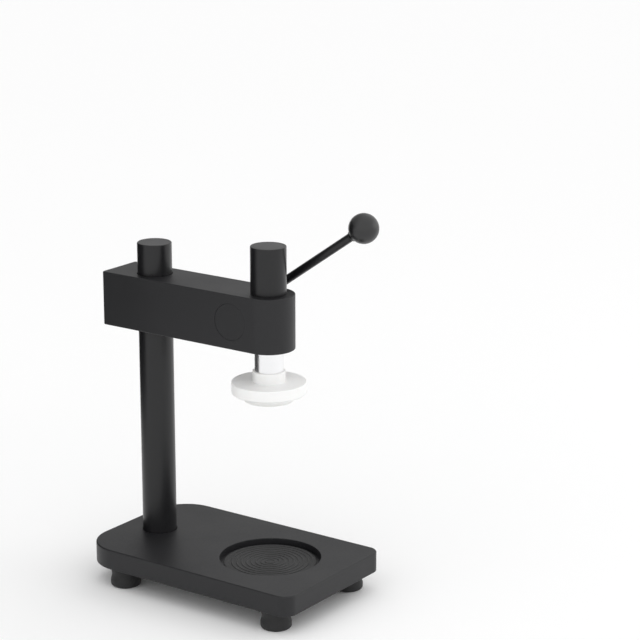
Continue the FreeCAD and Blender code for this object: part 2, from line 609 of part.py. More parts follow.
def pinion_shaft():
    start = SHAFT_AXIS - RIGHT * SHAFT_LEFT
    length = SHAFT_LEFT + HUB_FAR - END_FLOAT
    body = chamfered_rod(SHAFT_RADIUS, start, RIGHT, length, 0.6)
    groove = ring(SHAFT_RADIUS + 1, SHAFT_RADIUS - 0.8,
                  SHAFT_AXIS - RIGHT * (CLIP_NEAR + CLIP_THICK + SEAT_PLAY), RIGHT,
                  CLIP_THICK + 2 * SEAT_PLAY)
    slot = Part.makeBox(SPRING_WIDTH + 1, SHAFT_RADIUS + 1, 2 * SPRING_STRIP,
                        SHAFT_AXIS + Vector(-SHAFT_LEFT, 0, -SPRING_STRIP))
    tapped = rod(M6, SHAFT_AXIS + RIGHT * (start.x + length), RIGHT * -1, 16)
    body = body.cut(Part.Compound([groove, slot, tapped]))
    return body.cut(pinion_key()).cut(hub_key())


def shaft_clip():
    start = SHAFT_AXIS - RIGHT * (CLIP_NEAR + CLIP_THICK)
    body = ring(SHAFT_RADIUS + 2.2, SHAFT_RADIUS - 0.8 + SEAT_PLAY, start, RIGHT, CLIP_THICK)
    mouth = Part.makeBox(CLIP_THICK + 2, 5.0, 12.0, start + Vector(-1, -2.5, -12.0))
    return body.cut(mouth)


def thrust_washers():
    inner = PINION_WIDTH / 2 + END_FLOAT / 2
    return [ring(THRUST_RADIUS, SHAFT_RADIUS + SEAT_PLAY, SHAFT_AXIS + RIGHT * side * inner,
                 RIGHT * side, THRUST_WASHER) for side in (-1, 1)]


def return_spring():
    """A flat spiral strip from the slot in the shaft out to the anchor pin."""
    first = SHAFT_RADIUS + 0.9
    last = ANCHOR_PIN_AT - ANCHOR_PIN_RADIUS - SPRING_STRIP - 0.05
    start = SHAFT_AXIS - RIGHT * SPRING_LEFT
    points_per_turn = 16

    def coil(extra):
        count = SPRING_TURNS * points_per_turn
        points = []
        for i in range(count + 1):
            angle = 2 * math.pi * i / points_per_turn
            radius = first + (last - first) * i / count + extra
            points.append(start + Vector(0, radius * math.cos(angle), radius * math.sin(angle)))
        curve = Part.BSplineCurve()
        curve.interpolate(points)
        return curve.toShape(), points[0], points[-1]

    inner, inner_start, inner_end = coil(0)
    outer, outer_start, outer_end = coil(SPRING_STRIP)
    face = Part.Face(Part.Wire([inner, Part.makeLine(inner_end, outer_end), outer,
                                Part.makeLine(outer_start, inner_start)]))
    strip = face.extrude(RIGHT * SPRING_WIDTH)
    tab = Part.makeBox(SPRING_WIDTH, first - 2 + SPRING_STRIP, SPRING_STRIP,
                       start + Vector(0, 2, -SPRING_STRIP / 2))
    return strip.fuse(tab).removeSplitter()


# ---- lever ----
def lever_hub():
    start = SHAFT_AXIS + RIGHT * HUB_NEAR
    body = chamfered_rod(HUB_RADIUS, start, RIGHT, HUB_THICK, 1.0, both=True)
    body = body.cut(rod(SHAFT_RADIUS + SEAT_PLAY, start, RIGHT, HUB_THICK))
    body = body.cut(key_at(HUB_NEAR - 1, HUB_THICK + 2, SEAT_PLAY))
    body = body.cut(rod(ROD_RADIUS + SEAT_PLAY, ROD_MIDDLE - ROD_DIRECTION * HUB_RADIUS,
                        ROD_DIRECTION, 2 * HUB_RADIUS))
    return body.cut(rod(M6, ROD_MIDDLE, RIGHT, HUB_THICK))


def rod_set_screw():
    outside = ROD_MIDDLE + RIGHT * (HUB_THICK / 2 - 0.3)
    return set_screw(M6, outside, RIGHT * -1, HUB_THICK / 2 - 0.3 - ROD_RADIUS)


def hub_washer():
    return ring(10.0, M6 + 0.2, SHAFT_AXIS + RIGHT * HUB_FAR, RIGHT, WASHER_THICK)


def hub_screw():
    return cap_screw(M6, 5.0, 4.0, SHAFT_AXIS + RIGHT * (HUB_FAR + WASHER_THICK), RIGHT * -1, 14)


def lever_rod():
    tail = math.sqrt(HUB_RADIUS ** 2 - (ROD_OFFSET + ROD_RADIUS / 2) ** 2)
    start = ROD_MIDDLE - ROD_DIRECTION * tail
    return chamfered_rod(ROD_RADIUS, start, ROD_DIRECTION, tail + ROD_REACH + 5, 0.6, both=True)


def ball_knob():
    centre = ROD_MIDDLE + ROD_DIRECTION * ROD_REACH
    ball = Part.makeSphere(BALL_RADIUS, centre)
    neck_start = centre - ROD_DIRECTION * (BALL_RADIUS + BALL_NECK_LENGTH - 1)
    neck = Part.makeCone(ROD_RADIUS + 0.8, BALL_NECK_RADIUS + 1, BALL_NECK_LENGTH + 2, neck_start,
                         ROD_DIRECTION)
    hole = rod(ROD_RADIUS + SEAT_PLAY, neck_start - ROD_DIRECTION, ROD_DIRECTION,
               BALL_RADIUS + BALL_NECK_LENGTH + 5.2)
    return ball.fuse(neck).removeSplitter().cut(hole)


def build():
    """Every sub-part by the name of its node."""
    parts = {"base_plate": base_plate(), "seat_mat": seat_mat()}
    for name, (x, y) in at_feet().items():
        parts[name] = foot(x, y)
    parts.update({
        "foot_washers": foot_washers(),
        "foot_screws": foot_screws(),
        "post": post(),
        "post_washer": post_washer(),
        "post_bolt": post_bolt(),
        "head_arm": head_arm(),
        "arm_set_screws": arm_set_screws(),
        "bearing_carrier": bearing_carrier(),
        "carrier_screws": carrier_screws(),
        "left_bearing_plate": left_bearing_plate(),
        "spring_anchor_pin": spring_anchor_pin(),
        "shaft_bush_left": shaft_bush(-LEFT_PLATE_BACK, -PLATE_FACE),
        "shaft_bush_right": shaft_bush(PLATE_FACE, ARM_SIDE),
        "pinion_cover": pinion_cover(),
        "ram_bush_lower": ram_bush(Vector(0, 0, ARM_BOTTOM), UP, BUSH_LENGTH),
        "ram_bush_upper": ram_bush(Vector(0, 0, ARM_TOP - BUSH_LENGTH), UP, BUSH_LENGTH - SLEEVE_SPIGOT),
        "ram_guide_screw": ram_guide_screw(),
        "ram_sleeve": ram_sleeve(),
        "sleeve_cap": sleeve_cap(),
        "return_spring": return_spring(),
        "ram": ram(),
        "pressing_head": pressing_head(),
        "pressing_pad": pressing_pad(),
        "head_washer": head_washer(),
        "head_screw": head_screw(),
        "pinion": pinion(),
        "pinion_shaft": pinion_shaft(),
        "pinion_key": pinion_key(),
        "hub_key": hub_key(),
        "shaft_clip": shaft_clip(),
        "thrust_washers": thrust_washers(),
        "lever_hub": lever_hub(),
        "rod_set_screw": rod_set_screw(),
        "hub_washer": hub_washer(),
        "hub_screw": hub_screw(),
        "lever_rod": lever_rod(),
        "ball_knob": ball_knob(),
    })
    return parts


os.makedirs("parts", exist_ok=True)
for node, shape in build().items():
    whole = Part.Compound(shape) if isinstance(shape, list) else shape
    whole.exportStep("parts/" + node + ".step")
    solids = whole.Solids
    print(node, len(solids), "solids", round(sum(s.Volume for s in solids) / 1000, 3), "cm3",
          "ok" if whole.isValid() else "INVALID")
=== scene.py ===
import logging
import math
from dataclasses import dataclass
from enum import Enum
from typing import Sequence

import bmesh
import bpy
from mathutils import Matrix, Vector


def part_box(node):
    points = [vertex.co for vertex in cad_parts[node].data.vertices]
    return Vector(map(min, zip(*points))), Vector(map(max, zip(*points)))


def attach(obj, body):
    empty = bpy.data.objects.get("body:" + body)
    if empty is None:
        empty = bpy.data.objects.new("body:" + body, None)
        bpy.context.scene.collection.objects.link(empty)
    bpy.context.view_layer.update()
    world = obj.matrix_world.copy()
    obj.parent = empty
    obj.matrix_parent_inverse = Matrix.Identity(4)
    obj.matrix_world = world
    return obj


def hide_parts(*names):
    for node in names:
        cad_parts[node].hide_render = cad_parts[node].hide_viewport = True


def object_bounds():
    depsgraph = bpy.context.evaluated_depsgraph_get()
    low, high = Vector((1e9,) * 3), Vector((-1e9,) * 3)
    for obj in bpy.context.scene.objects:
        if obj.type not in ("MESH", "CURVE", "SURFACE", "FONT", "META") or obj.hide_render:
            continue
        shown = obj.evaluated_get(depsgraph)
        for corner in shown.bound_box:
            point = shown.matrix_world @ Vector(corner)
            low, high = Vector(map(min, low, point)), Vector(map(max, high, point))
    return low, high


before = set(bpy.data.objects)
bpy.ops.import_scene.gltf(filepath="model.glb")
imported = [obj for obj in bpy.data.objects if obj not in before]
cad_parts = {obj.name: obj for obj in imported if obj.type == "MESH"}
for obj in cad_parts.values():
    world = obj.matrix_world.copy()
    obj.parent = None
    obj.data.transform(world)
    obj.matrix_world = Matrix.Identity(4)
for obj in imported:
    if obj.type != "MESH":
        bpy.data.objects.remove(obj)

log = logging.getLogger("capping_press")

MM = 0.001
CAD_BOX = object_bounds()
SMOOTH_LIMIT = math.radians(50)     # edges sharper than this stay sharp
FLAT_LIMIT = math.radians(0.2)      # facets flatter than this are one face
SMOOTH_COSINE, FLAT_COSINE = math.cos(SMOOTH_LIMIT), math.cos(FLAT_LIMIT)
REACH_SHARE = 0.49                  # a round takes at most this much of the run beside it
AXIS_RADIUS = 1e-6                  # an outline's point nearer than this, in mm, is on the axis
WELD_DISTANCE = 1e-6                # corners nearer than this, in metres, are one
WALL_SLACK = 5e-5                   # how far off its radius, in metres, a round wall may be
WALL_COSINE = 0.99                  # a face that leans further than this is not part of the wall
GRAIN_LOW, GRAIN_HIGH = 0.1, 0.45   # the range that the grain's product really covers
SCATTER_WEIGHT = 0.35               # share of the light that goes under a milky surface
SCATTER_TINT = (1.0, 0.95, 0.9)     # red light goes a little deeper
ORIGIN, UNMOVED = Vector((0, 0, 0)), Matrix.Identity(4)
X_AXIS, Y_AXIS, Z_AXIS = Vector((1, 0, 0)), Vector((0, 1, 0)), Vector((0, 0, 1))

Point = tuple[float, float]
Piece, Shape, Material = bpy.types.Object, bmesh.types.BMesh, bpy.types.Material
Node, Nodes, Socket = bpy.types.Node, bpy.types.NodeTree, bpy.types.NodeSocket


# ---- nodes and finishes

def linear(colour: str) -> tuple[float, float, float, float]:
    """Turn an sRGB hex colour into linear values.

    Args:
        colour: A hash and six hex digits.

    Returns:
        Red, green and blue, linear, and a full alpha.
    """
    values = [int(colour[i:i + 2], 16) / 255 for i in (1, 3, 5)]
    red, green, blue = (v / 12.92 if v <= 0.04045 else ((v + 0.055) / 1.055) ** 2.4 for v in values)
    return red, green, blue, 1.0


def add_node(tree: Nodes, kind: str, inputs: dict | None = None, **settings) -> Node:
    """Add one node with its settings, values and links.

    Args:
        tree: The tree it goes into.
        kind: The node's type name.
        inputs: Values, output sockets, or nodes for their first output, by input name or number.
        settings: Attributes of the node itself.

    Returns:
        The new node.
    """
    node = tree.nodes.new(kind)
    for name, value in settings.items():
        setattr(node, name, value)
    for key, value in (inputs or {}).items():
        if isinstance(value, Node):
            value = value.outputs[0]
        if isinstance(value, Socket):
            tree.links.new(value, node.inputs[key])
        else:
            node.inputs[key].default_value = value
    return node


class Lay(Enum):
    """Which way a surface's fine marks run."""

    SPECKLED = "speckled"       # sprayed or moulded: no direction
    TURNED = "turned"           # rings round a vertical axis, as a lathe leaves them
    DRAWN = "drawn"             # streaks along one axis, as drawing or rolling leaves them


@dataclass(frozen=True)
class Finish:
    """A surface finish: a base shader with fine grain and broad, faint variation.

    Attributes:
        name: The material's name.
        slot: The record's material slot that it shows. Not used.
        colour: sRGB hex of the body colour.
        tint: sRGB hex that the grain and the broad patches drift towards.
        roughness: Middle roughness.
        swing: How far the roughness wanders either way.
        metallic: 1 for bare metal, 0 for coats, plastics and rubber.
        grain_mm: Real size of one grain, ridge or streak.
        relief_mm: Height of the grain.
        patch_mm: Size of the broad patches of handling and cure.
        lay: Direction of the grain.
        stretch: Vector scale of the grain, for a drawn finish.
        ior: Index of refraction.
        sheen: Dusty edge brightening, as on rubber.
        scatter_mm: How deep light goes under the surface, for nylon.
    """

    name: str
    slot: str
    colour: str
    tint: str
    roughness: float
    swing: float = 0.05
    metallic: float = 0.0
    grain_mm: float = 0.5
    relief_mm: float = 0.01
    patch_mm: float = 40.0
    lay: Lay = Lay.SPECKLED
    stretch: tuple[float, float, float] = (1.0, 1.0, 1.0)
    ior: float = 1.5
    sheen: float = 0.0
    scatter_mm: float = 0.0

    def material(self) -> Material:
        """Build the material, or give back the one built before.

        Returns:
            The material.
        """
        known = bpy.data.materials.get(self.name)
        if known is not None:
            return known
        made = bpy.data.materials.new(self.name)
        made.use_nodes = True
        tree = made.node_tree
        tree.nodes.clear()
        place = add_node(tree, "ShaderNodeTexCoord").outputs["Object"]
        grain = self._grain(tree, place)
        patches = add_node(tree, "ShaderNodeTexNoise", {
            "Vector": place, "Scale": 1 / (self.patch_mm * MM), "Detail": 3.0})
        blend = add_node(tree, "ShaderNodeMath", {0: grain, 1: patches}, operation="MULTIPLY")
        colour = add_node(tree, "ShaderNodeMix", {
            "Factor": blend, 6: linear(self.colour), 7: linear(self.tint)}, data_type="RGBA")
        rough = add_node(tree, "ShaderNodeMapRange", {
            "Value": blend, "From Min": GRAIN_LOW, "From Max": GRAIN_HIGH,
            "To Min": self.roughness - self.swing, "To Max": self.roughness + self.swing})
        bump = add_node(tree, "ShaderNodeBump", {
            "Strength": 1.0, "Distance": self.relief_mm * MM, "Height": grain})
        surface = add_node(tree, "ShaderNodeBsdfPrincipled", {
            "Base Color": colour.outputs[2], "Roughness": rough, "Normal": bump,
            "Metallic": self.metallic, "IOR": self.ior, "Sheen Weight": self.sheen})
        if self.scatter_mm:
            surface.inputs["Subsurface Weight"].default_value = SCATTER_WEIGHT
            surface.inputs["Subsurface Radius"].default_value = SCATTER_TINT
            surface.inputs["Subsurface Scale"].default_value = self.scatter_mm * MM
        add_node(tree, "ShaderNodeOutputMaterial", {"Surface": surface})
        return made

    def _grain(self, tree: Nodes, place: Socket) -> Node:
        """Draw the fine pattern that both bump and colour follow.

        Args:
            tree: The material's nodes.
            place: Object coordinates.

        Returns:
            The node whose first output is the pattern, from 0 to 1.
        """
        if self.lay is Lay.TURNED:
            flat = add_node(tree, "ShaderNodeVectorMath", {0: place, 1: (1.0, 1.0, 0.0)},
                            operation="MULTIPLY")
            radius = add_node(tree, "ShaderNodeVectorMath", {0: flat}, operation="LENGTH")
            split = add_node(tree, "ShaderNodeSeparateXYZ", {0: place})
            place = add_node(tree, "ShaderNodeCombineXYZ", {
                "X": radius.outputs["Value"], "Y": split.outputs["Z"]})
        elif self.lay is Lay.DRAWN:
            place = add_node(tree, "ShaderNodeVectorMath", {0: place, 1: self.stretch},
                             operation="MULTIPLY")
        return add_node(tree, "ShaderNodeTexNoise", {
            "Vector": place, "Scale": 1 / (self.grain_mm * MM), "Detail": 2.0, "Roughness": 0.55})


# Sprayed thermoset powder over aluminium: an even, faintly pebbled charcoal with a soft sheen.
# The pebble is about 0.4 mm on the real coat and is drawn at 0.9 mm so that it shows.
POWDER_COAT = Finish("powder_coated_aluminium", "coated_frame", "#151517", "#222225", 0.46, 0.06,
                     grain_mm=0.9, relief_mm=0.05, patch_mm=55.0, ior=1.44)
# The same coat on drawn steel tube and bar, which lies a little smoother.
COATED_BAR = Finish("powder_coated_steel_bar", "coated_steel", "#111113", "#1b1b1d", 0.33, 0.05,
                    grain_mm=0.9, relief_mm=0.022, patch_mm=45.0, ior=1.46)
# Compression-moulded phenolic: deep black with a dull polish.
PHENOLIC = Finish("moulded_phenolic", "knob_plastic", "#0d0d0e", "#151516", 0.34, 0.05,
                  grain_mm=1.2, relief_mm=0.006, patch_mm=12.0, ior=1.6)
# Turned nylon: milky white, light soaks in, fine tool rings.
NYLON = Finish("turned_nylon", "white_nylon", "#f1f1f0", "#f6f6f5", 0.38, 0.05, grain_mm=0.35,
               relief_mm=0.006, patch_mm=20.0, lay=Lay.TURNED, ior=1.53, scatter_mm=1.2)
# White food-grade silicone: softer and duller than the nylon.
SILICONE = Finish("white_silicone", "pad_rubber", "#ebebe8", "#f1f1ee", 0.62, 0.05, grain_mm=0.8,
                  relief_mm=0.01, patch_mm=14.0, ior=1.41, scatter_mm=1.5)
# Moulded nitrile rubber: flat black that picks up dust.
RUBBER = Finish("moulded_nitrile_rubber", "black_rubber", "#121213", "#1f1f20", 0.72, 0.08,
                grain_mm=1.1, relief_mm=0.03, patch_mm=14.0, ior=1.52, sheen=0.08)
# Centreless-ground bar: bright, with hair-fine rings that soften what it reflects.
GROUND_STEEL = Finish("ground_steel_bar", "ground_steel", "#f7f7f8", "#ecedee", 0.24, 0.03,
                      metallic=1.0, grain_mm=0.3, relief_mm=0.0008, patch_mm=25.0,
                      lay=Lay.TURNED)
# Hobbed and milled gear steel with a film of grease.
GEAR_STEEL = Finish("milled_gear_steel", "gear_steel", "#8d8f92", "#76787b", 0.34, 0.08,
                    metallic=1.0, grain_mm=0.5, relief_mm=0.004, patch_mm=15.0, lay=Lay.DRAWN,
                    stretch=(0.06, 1.0, 1.0))
# Sintered bearing bronze: warm and slightly porous.
BRONZE = Finish("sintered_bronze", "bronze", "#a8793f", "#8c6231", 0.42, 0.07, metallic=1.0,
                grain_mm=0.6, relief_mm=0.008, patch_mm=10.0)
# Blued spring strip: dark and smooth, with rolling streaks.
SPRING_STRIP = Finish("blued_spring_strip", "spring_steel", "#3a4048", "#2b3038", 0.3, 0.05,
                      metallic=1.0, grain_mm=0.4, relief_mm=0.002, patch_mm=12.0,
                      lay=Lay.DRAWN, stretch=(0.05, 1.0, 1.0))
# Zinc-plated pressed washers: pale grey with a faint mottle.
ZINC = Finish("zinc_plated_steel", "zinc_plate", "#a9acb1", "#b9b7ae", 0.36, 0.08, metallic=1.0,
              grain_mm=0.7, relief_mm=0.003, patch_mm=6.0)
# Oil-blacked alloy screws: a dull black skin with steel under it.
BLACK_OXIDE = Finish("oil_blacked_screw", "black_screw", "#26272a", "#34353a", 0.44, 0.08,
                     metallic=0.7, grain_mm=0.5, relief_mm=0.004, patch_mm=6.0)
# Black velvet on the studio's flag: as good as no reflection.  It shows no slot.
FLAG_CLOTH = Finish("flag_velvet", "", "#060606", "#080808", 0.95, 0.02, grain_mm=1.0,
                    relief_mm=0.01, patch_mm=80.0)
# Matt painted studio sweep: white with no shine.  It shows no slot.
SWEEP = Finish("studio_sweep", "", "#fcfcfc", "#fdfdfd", 0.9, 0.02, grain_mm=3.0, relief_mm=0.01,
               patch_mm=900.0)


# ---- meshes

@dataclass(frozen=True)
class Corner:
    """One corner of a turned outline, in millimetres: radius, height and the round put on it."""

    radius: float
    height: float
    round: float = 0.0


def arc(centre: Point, radius: float, start: float, end: float, steps: int) -> list[Point]:
    """Points along an arc.

    Args:
        centre: The arc's centre.
        radius: Its radius.
        start: First angle, in degrees.
        end: Last angle, in degrees.
        steps: Number of chords.

    Returns:
        The points, both ends included.
    """
    angles = [math.radians(start + (end - start) * i / steps) for i in range(steps + 1)]
    return [(centre[0] + radius * math.cos(a), centre[1] + radius * math.sin(a)) for a in angles]


def outline(corners: Sequence[Corner], closed: bool = False, steps: int = 6) -> list[Point]:
    """Round the corners of an outline.

    Args:
        corners: The corners, in order.
        closed: Whether the last corner joins the first, as on a tube.
        steps: Chords in each round.

    Returns:
        Points of radius and height, in millimetres.
    """
    points: list[Point] = []
    count = len(corners)
    for i, corner in enumerate(corners):
        here = Vector((corner.radius, corner.height))
        at_end = not closed and i in (0, count - 1)
        if corner.round <= 0 or at_end:
            points.append((here.x, here.y))
            continue
        before, after = corners[i - 1], corners[(i + 1) % count]
        back = Vector((before.radius, before.height)) - here
        ahead = Vector((after.radius, after.height)) - here
        half = back.angle(ahead) / 2
        room = REACH_SHARE * min(back.length, ahead.length)
        reach = min(corner.round / math.tan(half), room)
        radius = reach * math.tan(half)
        inward = (back.normalized() + ahead.normalized()).normalized()
        centre = here + inward * (radius / math.sin(half))
        first = here + back.normalized() * reach - centre
        last = here + ahead.normalized() * reach - centre
        for step in range(steps + 1):
            mid = first.slerp(last, step / steps).normalized() * radius
            points.append((centre.x + mid.x, centre.y + mid.y))
    return points


def axis_frame(origin: Vector, direction: Vector) -> Matrix:
    """A matrix that stands Z along direction at origin, in metres."""
    return Matrix.Translation(origin) @ direction.to_track_quat("Z", "Y").to_matrix().to_4x4()


def new_object(name: str, data: bpy.types.ID) -> Piece:
    """Put a mesh, lamp or camera into the scene as an object at the origin.

    Args:
        name: The object's name.
        data: What it shows.

    Returns:
        The object.
    """
    piece = bpy.data.objects.new(name, data)
    bpy.context.scene.collection.objects.link(piece)
    return piece


def from_shape(name: str, shape: Shape) -> Piece:
    """Turn worked-on mesh data into an object, and free the data.

    Args:
        name: The object's name.
        shape: The mesh data.

    Returns:
        The object.
    """
    mesh = bpy.data.meshes.new(name)
    shape.to_mesh(mesh)
    shape.free()
    return new_object(name, mesh)


def welded(node: str) -> Shape:
    """Load a CAD node's mesh with its loose triangles joined.

    Args:
        node: The node's name.

    Returns:
        The mesh data.
    """
    shape = bmesh.new()
    shape.from_mesh(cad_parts[node].data)
    bmesh.ops.remove_doubles(shape, verts=shape.verts, dist=WELD_DISTANCE)
    return shape


def plain_mesh(piece: Piece) -> Piece:
    """Turn a piece's modifiers into plain mesh, and take them off.

    Args:
        piece: The piece, with modifiers.

    Returns:
        The same piece, with none.
    """
    graph = bpy.context.evaluated_depsgraph_get()
    baked = bpy.data.meshes.new_from_object(piece.evaluated_get(graph))
    baked.name = piece.name
    piece.modifiers.clear()
    piece.data = baked
    return piece


def flats(shape: Shape) -> tuple[list[int], list[float]]:
    """Find the flats of a mesh: faces that join in one plane.

    Args:
        shape: The mesh.

    Returns:
        The number of each face's flat, and each flat's area.
    """
    flat_of = [-1] * len(shape.faces)
    areas: list[float] = []
    for face in shape.faces:
        if flat_of[face.index] >= 0:
            continue
        flat_of[face.index] = len(areas)
        reached = [face]
        for here in reached:
            for other in (o for edge in here.edges for o in edge.link_faces):
                if flat_of[other.index] < 0 and here.normal.dot(other.normal) > FLAT_COSINE:
                    flat_of[other.index] = len(areas)
                    reached.append(other)
        areas.append(sum(here.calc_area() for here in reached))
    return flat_of, areas


def smooth(piece: Piece) -> Piece:
    """Shade a piece smooth between its sharp edges, with its flats kept flat.

    Args:
        piece: The piece.

    Returns:
        The same piece, with a normal set at each corner of each face.
    """
    mesh = piece.data
    mesh.polygons.foreach_set("use_smooth", [True] * len(mesh.polygons))
    mesh.set_sharp_from_angle(angle=SMOOTH_LIMIT)
    shape = bmesh.new()
    shape.from_mesh(mesh)
    flat_of, areas = flats(shape)
    normals = [Z_AXIS] * len(mesh.loops)
    for vertex in shape.verts:
        faces = [(loop.face.normal, areas[flat_of[loop.face.index]] ** 2, flat_of[loop.face.index])
                 for loop in vertex.link_loops]
        for loop in vertex.link_loops:
            own = loop.face.normal
            near = {flat: (normal, weight) for normal, weight, flat in faces
                    if own.dot(normal) > SMOOTH_COSINE}
            total = sum((normal * weight for normal, weight in near.values()), ORIGIN)
            normals[loop.index] = total.normalized() if total.length > 0 else own.copy()
    shape.free()
    mesh.normals_split_custom_set(normals)
    return piece


def turned(name: str, points: Sequence[Point], place: Matrix, closed: bool = False,
           segments: int = 128) -> Piece:
    """Turn an outline about an axis.

    Args:
        name: The piece's name.
        points: Radius and height pairs, in millimetres.
        place: Where the axis stands, in metres.
        closed: Whether the outline closes on itself, as on a tube.
        segments: Faces round the axis.

    Returns:
        The piece, smooth, with its place in its mesh.
    """
    shape = bmesh.new()
    rings = []
    for radius, height in points:
        if radius < AXIS_RADIUS:
            rings.append([shape.verts.new((0, 0, height * MM))])
            continue
        turn = [2 * math.pi * i / segments for i in range(segments)]
        rings.append([shape.verts.new((radius * MM * math.cos(a), radius * MM * math.sin(a),
                                       height * MM)) for a in turn])
    pairs = list(zip(rings, rings[1:])) + ([(rings[-1], rings[0])] if closed else [])
    for low, high in pairs:
        for i in range(segments):
            j = (i + 1) % segments
            loop = [low[i % len(low)], low[j % len(low)], high[j % len(high)], high[i % len(high)]]
            unique = list(dict.fromkeys(loop))
            if len(unique) > 2:
                shape.faces.new(unique)
    bmesh.ops.recalc_face_normals(shape, faces=shape.faces)
    bmesh.ops.transform(shape, matrix=place, verts=shape.verts)
    return smooth(from_shape(name, shape))


def refined(name: str, node: str) -> Piece:
    """Copy a CAD node whose shape is already right, welded and shaded smooth.

    Args:
        name: The copy's name.
        node: The node's name.

    Returns:
        The copy.
    """
    shape = welded(node)
    bmesh.ops.dissolve_limit(shape, angle_limit=FLAT_LIMIT, verts=shape.verts, edges=shape.edges)
    return smooth(from_shape(name, shape))


def true_round(piece: Piece, middle: Vector, radius: float) -> Piece:
    """Give an upright round wall exact normals, so that reflections run straight down it.

    Args:
        piece: The piece.
        middle: Any point on the wall's axis, in metres.
        radius: The wall's radius, in metres.

    Returns:
        The same piece.
    """
    mesh = piece.data
    normals = [corner.vector.copy() for corner in mesh.corner_normals]
    for face in mesh.polygons:
        for corner in face.loop_indices:
            out = mesh.vertices[mesh.loops[corner].vertex_index].co - middle
            out.z = 0.0
            upright = face.normal.dot(out.normalized()) > WALL_COSINE
            if upright and abs(out.length - radius) < WALL_SLACK:
                normals[corner] = out.normalized()
    mesh.normals_split_custom_set(normals)
    return piece


def centre_of(node: str) -> Vector:
    """The middle of a CAD node's box, in metres."""
    low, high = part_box(node)
    return (low + high) / 2


def radius_of(node: str) -> float:
    """Half the width of a CAD node's box along X, in millimetres."""
    low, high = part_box(node)
    return (high.x - low.x) / 2 / MM


def height_of(node: str) -> float:
    """The height of a CAD node's box, in millimetres."""
    low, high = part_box(node)
    return (high.z - low.z) / MM


def on_ram_axis(node: str) -> Matrix:
    """The ram's axis, standing at the foot of a CAD node's box."""
    return axis_frame(Vector((0, 0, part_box(node)[0].z)), Z_AXIS)


def shells(node: str) -> list[tuple[Vector, Vector]]:
    """The boxes of the separate solids in a CAD node.

    Args:
        node: The node's name.

    Returns:
        Lowest and highest corner of each solid, in metres, from the lowest solid up.
    """
    shape = welded(node)
    waiting = set(shape.verts)
    boxes = []
    while waiting:
        reached = [waiting.pop()]
        for vertex in reached:
            for edge in vertex.link_edges:
                other = edge.other_vert(vertex)
                if other in waiting:
                    waiting.remove(other)
                    reached.append(other)
        sides = list(zip(*(vertex.co for vertex in reached)))
        boxes.append((Vector(min(side) for side in sides), Vector(max(side) for side in sides)))
    shape.free()
    return sorted(boxes, key=lambda box: (round(box[0].z, 5), box[0].y))


# ---- geometry node trees

class Tree:
    """A geometry node tree with named inputs, made once and used by one modifier at a time."""

    def __init__(self, name: str, inputs: dict[str, str]) -> None:
        """Start a tree with the named inputs, and a finish as the last.

        Args:
            name: The tree's name.
            inputs: Kind of socket by input name.
        """
        self.tree = bpy.data.node_groups.new(name, "GeometryNodeTree")
        face = self.tree.interface
        for label, kind in {"Geometry": "Geometry", **inputs, "Finish": "Material"}.items():
            face.new_socket(label, in_out="INPUT", socket_type="NodeSocket" + kind)
        face.new_socket("Geometry", in_out="OUTPUT", socket_type="NodeSocketGeometry")
        self.given = self.add("NodeGroupInput").outputs

    def add(self, kind: str, inputs: dict | None = None, **settings) -> Node:
        """Add a node to this tree."""
        return add_node(self.tree, kind, inputs, **settings)

    def end(self, geometry: Node) -> None:
        """Close the tree: real geometry, its finish, and the output.

        Args:
            geometry: The node that makes what the tree gives.
        """
        real = self.add("GeometryNodeRealizeInstances", {"Geometry": geometry})
        soft = self.add("GeometryNodeSetShadeSmooth", {"Geometry": real})
        done = self.add("GeometryNodeSetMaterial", {
            "Geometry": soft, "Material": self.given["Finish"]})
        self.add("NodeGroupOutput", {"Geometry": done})

    def run(self, piece: Piece, finish: Finish, values: dict) -> Piece:
        """Run the tree on a piece and leave plain mesh.

        Args:
            piece: The object that carries the modifier.
            finish: The result's surface.
            values: Values by input name.

        Returns:
            The piece, with the result as its mesh.
        """
        values = {**values, "Finish": finish.material()}
        modifier = piece.modifiers.new(self.tree.name, "NODES")
        modifier.node_group = self.tree
        for item in self.tree.interface.items_tree:
            if item.in_out == "INPUT" and item.name in values:
                modifier[item.identifier] = values[item.name]
        return plain_mesh(piece)


def seated_copies(name: str, template: Piece, seats: Sequence[Vector], direction: Vector,
                  finish: Finish, spread: float, seed: int) -> Piece:
    """Set copies of a template on several seats, each turned about its own axis.

    Args:
        name: The new piece's name.
        template: The piece to copy, standing on the origin along +Z.  It is removed.
        seats: Where the copies stand, in metres.
        direction: Which way their +Z points.
        finish: Their surface.
        spread: Widest turn about the axis, in radians.
        seed: Seed of the turns.

    Returns:
        One piece that holds every copy.
    """
    tree = Tree("seated_copies_" + name, {
        "Template": "Object", "Direction": "Vector", "Turn Spread": "Float", "Turn Seed": "Int"})
    source = tree.add("GeometryNodeObjectInfo", {"Object": tree.given["Template"]})
    aim = tree.add("FunctionNodeAlignRotationToVector", {"Vector": tree.given["Direction"]},
                   axis="Z")
    turn = tree.add("FunctionNodeRandomValue", {
        "Max": tree.given["Turn Spread"], "Seed": tree.given["Turn Seed"]}, data_type="FLOAT")
    about = tree.add("FunctionNodeAxisAngleToRotation", {"Axis": Z_AXIS, "Angle": turn.outputs[1]})
    both = tree.add("FunctionNodeRotateRotation", {"Rotation": aim, "Rotate By": about},
                    rotation_space="LOCAL")
    placed = tree.add("GeometryNodeInstanceOnPoints", {
        "Points": tree.given["Geometry"], "Instance": source.outputs["Geometry"],
        "Rotation": both})
    tree.end(placed)
    mesh = bpy.data.meshes.new(name)
    mesh.from_pydata([tuple(seat) for seat in seats], [], [])
    piece = tree.run(new_object(name, mesh), finish, {
        "Template": template, "Direction": direction, "Turn Spread": spread, "Turn Seed": seed})
    bpy.data.objects.remove(template)
    return smooth(piece)


